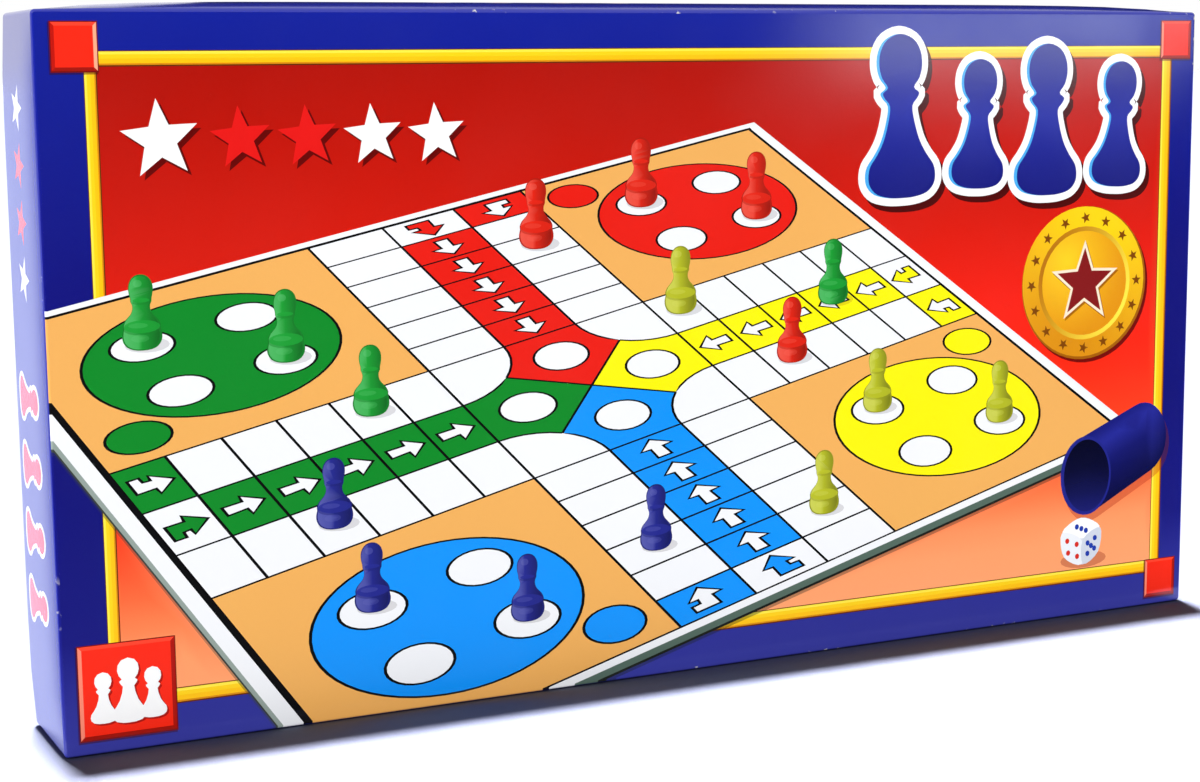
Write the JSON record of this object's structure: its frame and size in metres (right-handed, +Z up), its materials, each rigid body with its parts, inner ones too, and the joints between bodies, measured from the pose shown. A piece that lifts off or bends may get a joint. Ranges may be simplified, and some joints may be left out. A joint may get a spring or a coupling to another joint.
{
  "type": "folding ludo board box",
  "caption": "Telescoping card game box that stands on its long side, with a folding ludo board, a formed tray, counters, dice cup, die and leaflet inside.",
  "frame": {"origin": "under the middle of the closed box, on the surface that it stands on", "axes": "+X across the printed front to the right, +Y from the front to the back, +Z up"},
  "size_m": [0.364, 0.035, 0.19],
  "materials": {
    "printed_lid": "glossy laminated print on grey board",
    "printed_base": "plain blue wrap on grey board",
    "game_board": "glossy litho print on grey board",
    "hinge_tape": "book cloth tape",
    "leaflet_paper": "uncoated paper",
    "formed_tray": "vacuum-formed polystyrene sheet",
    "counter_red": "moulded plastic",
    "counter_green": "moulded plastic",
    "counter_yellow": "moulded plastic",
    "counter_blue": "moulded plastic",
    "cup_blue": "moulded plastic",
    "die_white": "moulded plastic"
  },
  "bodies": {
    "base": {"base": "printed_base", "insert_tray": "formed_tray"},
    "lid": {"lid": "printed_lid"},
    "board_rear": {"board_half_rear": "game_board", "board_hinge_tape": "hinge_tape"},
    "board_front": {"board_half_front": "game_board"},
    "leaflet": {"rules_leaflet": "leaflet_paper"},
    "dice_cup": {"dice_cup": "cup_blue"},
    "die": {"die": "die_white"},
    "counter_red_1": {"counter_red_1": "counter_red"},
    "counter_red_2": {"counter_red_2": "counter_red"},
    "counter_red_3": {"counter_red_3": "counter_red"},
    "counter_red_4": {"counter_red_4": "counter_red"},
    "counter_green_1": {"counter_green_1": "counter_green"},
    "counter_green_2": {"counter_green_2": "counter_green"},
    "counter_green_3": {"counter_green_3": "counter_green"},
    "counter_green_4": {"counter_green_4": "counter_green"},
    "counter_yellow_1": {"counter_yellow_1": "counter_yellow"},
    "counter_yellow_2": {"counter_yellow_2": "counter_yellow"},
    "counter_yellow_3": {"counter_yellow_3": "counter_yellow"},
    "counter_yellow_4": {"counter_yellow_4": "counter_yellow"},
    "counter_blue_1": {"counter_blue_1": "counter_blue"},
    "counter_blue_2": {"counter_blue_2": "counter_blue"},
    "counter_blue_3": {"counter_blue_3": "counter_blue"},
    "counter_blue_4": {"counter_blue_4": "counter_blue"}
  },
  "joints": [
    {"name": "lid_lift", "type": "slide", "parent": "base", "child": "lid", "axis": [0, -1, 0], "range_m": [0, 0.66]},
    {"name": "board_lift", "type": "slide", "parent": "base", "child": "board_rear", "axis": [0, -1, 0], "range_m": [0, 0.0792]},
    {"name": "board_fold", "type": "hinge", "parent": "board_rear", "child": "board_front", "pos_m": [0, -0.0137, 0.1806], "axis": [-1, 0, 0], "range_deg": [0, 180], "deforming": ["board_hinge_tape"]},
    {"name": "leaflet_lift", "type": "slide", "parent": "base", "child": "leaflet", "axis": [0, -1, 0], "range_m": [0, 0.066]},
    {"name": "dice_cup_lift", "type": "slide", "parent": "base", "child": "dice_cup", "axis": [0, -1, 0], "range_m": [0, 0.0396]},
    {"name": "die_lift", "type": "slide", "parent": "base", "child": "die", "axis": [0, -1, 0], "range_m": [0, 0.0264]},
    {"name": "counter_red_1_lift", "type": "slide", "parent": "base", "child": "counter_red_1", "axis": [0, -1, 0], "range_m": [0, 0.0297]},
    {"name": "counter_red_2_lift", "type": "slide", "parent": "base", "child": "counter_red_2", "axis": [0, -1, 0], "range_m": [0, 0.0297]},
    {"name": "counter_red_3_lift", "type": "slide", "parent": "base", "child": "counter_red_3", "axis": [0, -1, 0], "range_m": [0, 0.0297]},
    {"name": "counter_red_4_lift", "type": "slide", "parent": "base", "child": "counter_red_4", "axis": [0, -1, 0], "range_m": [0, 0.0297]},
    {"name": "counter_green_1_lift", "type": "slide", "parent": "base", "child": "counter_green_1", "axis": [0, -1, 0], "range_m": [0, 0.0297]},
    {"name": "counter_green_2_lift", "type": "slide", "parent": "base", "child": "counter_green_2", "axis": [0, -1, 0], "range_m": [0, 0.0297]},
    {"name": "counter_green_3_lift", "type": "slide", "parent": "base", "child": "counter_green_3", "axis": [0, -1, 0], "range_m": [0, 0.0297]},
    {"name": "counter_green_4_lift", "type": "slide", "parent": "base", "child": "counter_green_4", "axis": [0, -1, 0], "range_m": [0, 0.0297]},
    {"name": "counter_yellow_1_lift", "type": "slide", "parent": "base", "child": "counter_yellow_1", "axis": [0, -1, 0], "range_m": [0, 0.0297]},
    {"name": "counter_yellow_2_lift", "type": "slide", "parent": "base", "child": "counter_yellow_2", "axis": [0, -1, 0], "range_m": [0, 0.0297]},
    {"name": "counter_yellow_3_lift", "type": "slide", "parent": "base", "child": "counter_yellow_3", "axis": [0, -1, 0], "range_m": [0, 0.0297]},
    {"name": "counter_yellow_4_lift", "type": "slide", "parent": "base", "child": "counter_yellow_4", "axis": [0, -1, 0], "range_m": [0, 0.0297]},
    {"name": "counter_blue_1_lift", "type": "slide", "parent": "base", "child": "counter_blue_1", "axis": [0, -1, 0], "range_m": [0, 0.0297]},
    {"name": "counter_blue_2_lift", "type": "slide", "parent": "base", "child": "counter_blue_2", "axis": [0, -1, 0], "range_m": [0, 0.0297]},
    {"name": "counter_blue_3_lift", "type": "slide", "parent": "base", "child": "counter_blue_3", "axis": [0, -1, 0], "range_m": [0, 0.0297]},
    {"name": "counter_blue_4_lift", "type": "slide", "parent": "base", "child": "counter_blue_4", "axis": [0, -1, 0], "range_m": [0, 0.0297]}
  ],
  "couplings": [
    {"joint": "board_lift", "follows": "lid_lift", "ratio": 0.12},
    {"joint": "board_fold", "follows": "lid_lift", "rad_per_m": 4.76},
    {"joint": "leaflet_lift", "follows": "lid_lift", "ratio": 0.1},
    {"joint": "dice_cup_lift", "follows": "lid_lift", "ratio": 0.06},
    {"joint": "die_lift", "follows": "lid_lift", "ratio": 0.04},
    {"joint": "counter_red_1_lift", "follows": "lid_lift", "ratio": 0.045},
    {"joint": "counter_red_2_lift", "follows": "lid_lift", "ratio": 0.045},
    {"joint": "counter_red_3_lift", "follows": "lid_lift", "ratio": 0.045},
    {"joint": "counter_red_4_lift", "follows": "lid_lift", "ratio": 0.045},
    {"joint": "counter_green_1_lift", "follows": "lid_lift", "ratio": 0.045},
    {"joint": "counter_green_2_lift", "follows": "lid_lift", "ratio": 0.045},
    {"joint": "counter_green_3_lift", "follows": "lid_lift", "ratio": 0.045},
    {"joint": "counter_green_4_lift", "follows": "lid_lift", "ratio": 0.045},
    {"joint": "counter_yellow_1_lift", "follows": "lid_lift", "ratio": 0.045},
    {"joint": "counter_yellow_2_lift", "follows": "lid_lift", "ratio": 0.045},
    {"joint": "counter_yellow_3_lift", "follows": "lid_lift", "ratio": 0.045},
    {"joint": "counter_yellow_4_lift", "follows": "lid_lift", "ratio": 0.045},
    {"joint": "counter_blue_1_lift", "follows": "lid_lift", "ratio": 0.045},
    {"joint": "counter_blue_2_lift", "follows": "lid_lift", "ratio": 0.045},
    {"joint": "counter_blue_3_lift", "follows": "lid_lift", "ratio": 0.045},
    {"joint": "counter_blue_4_lift", "follows": "lid_lift", "ratio": 0.045}
  ]
}
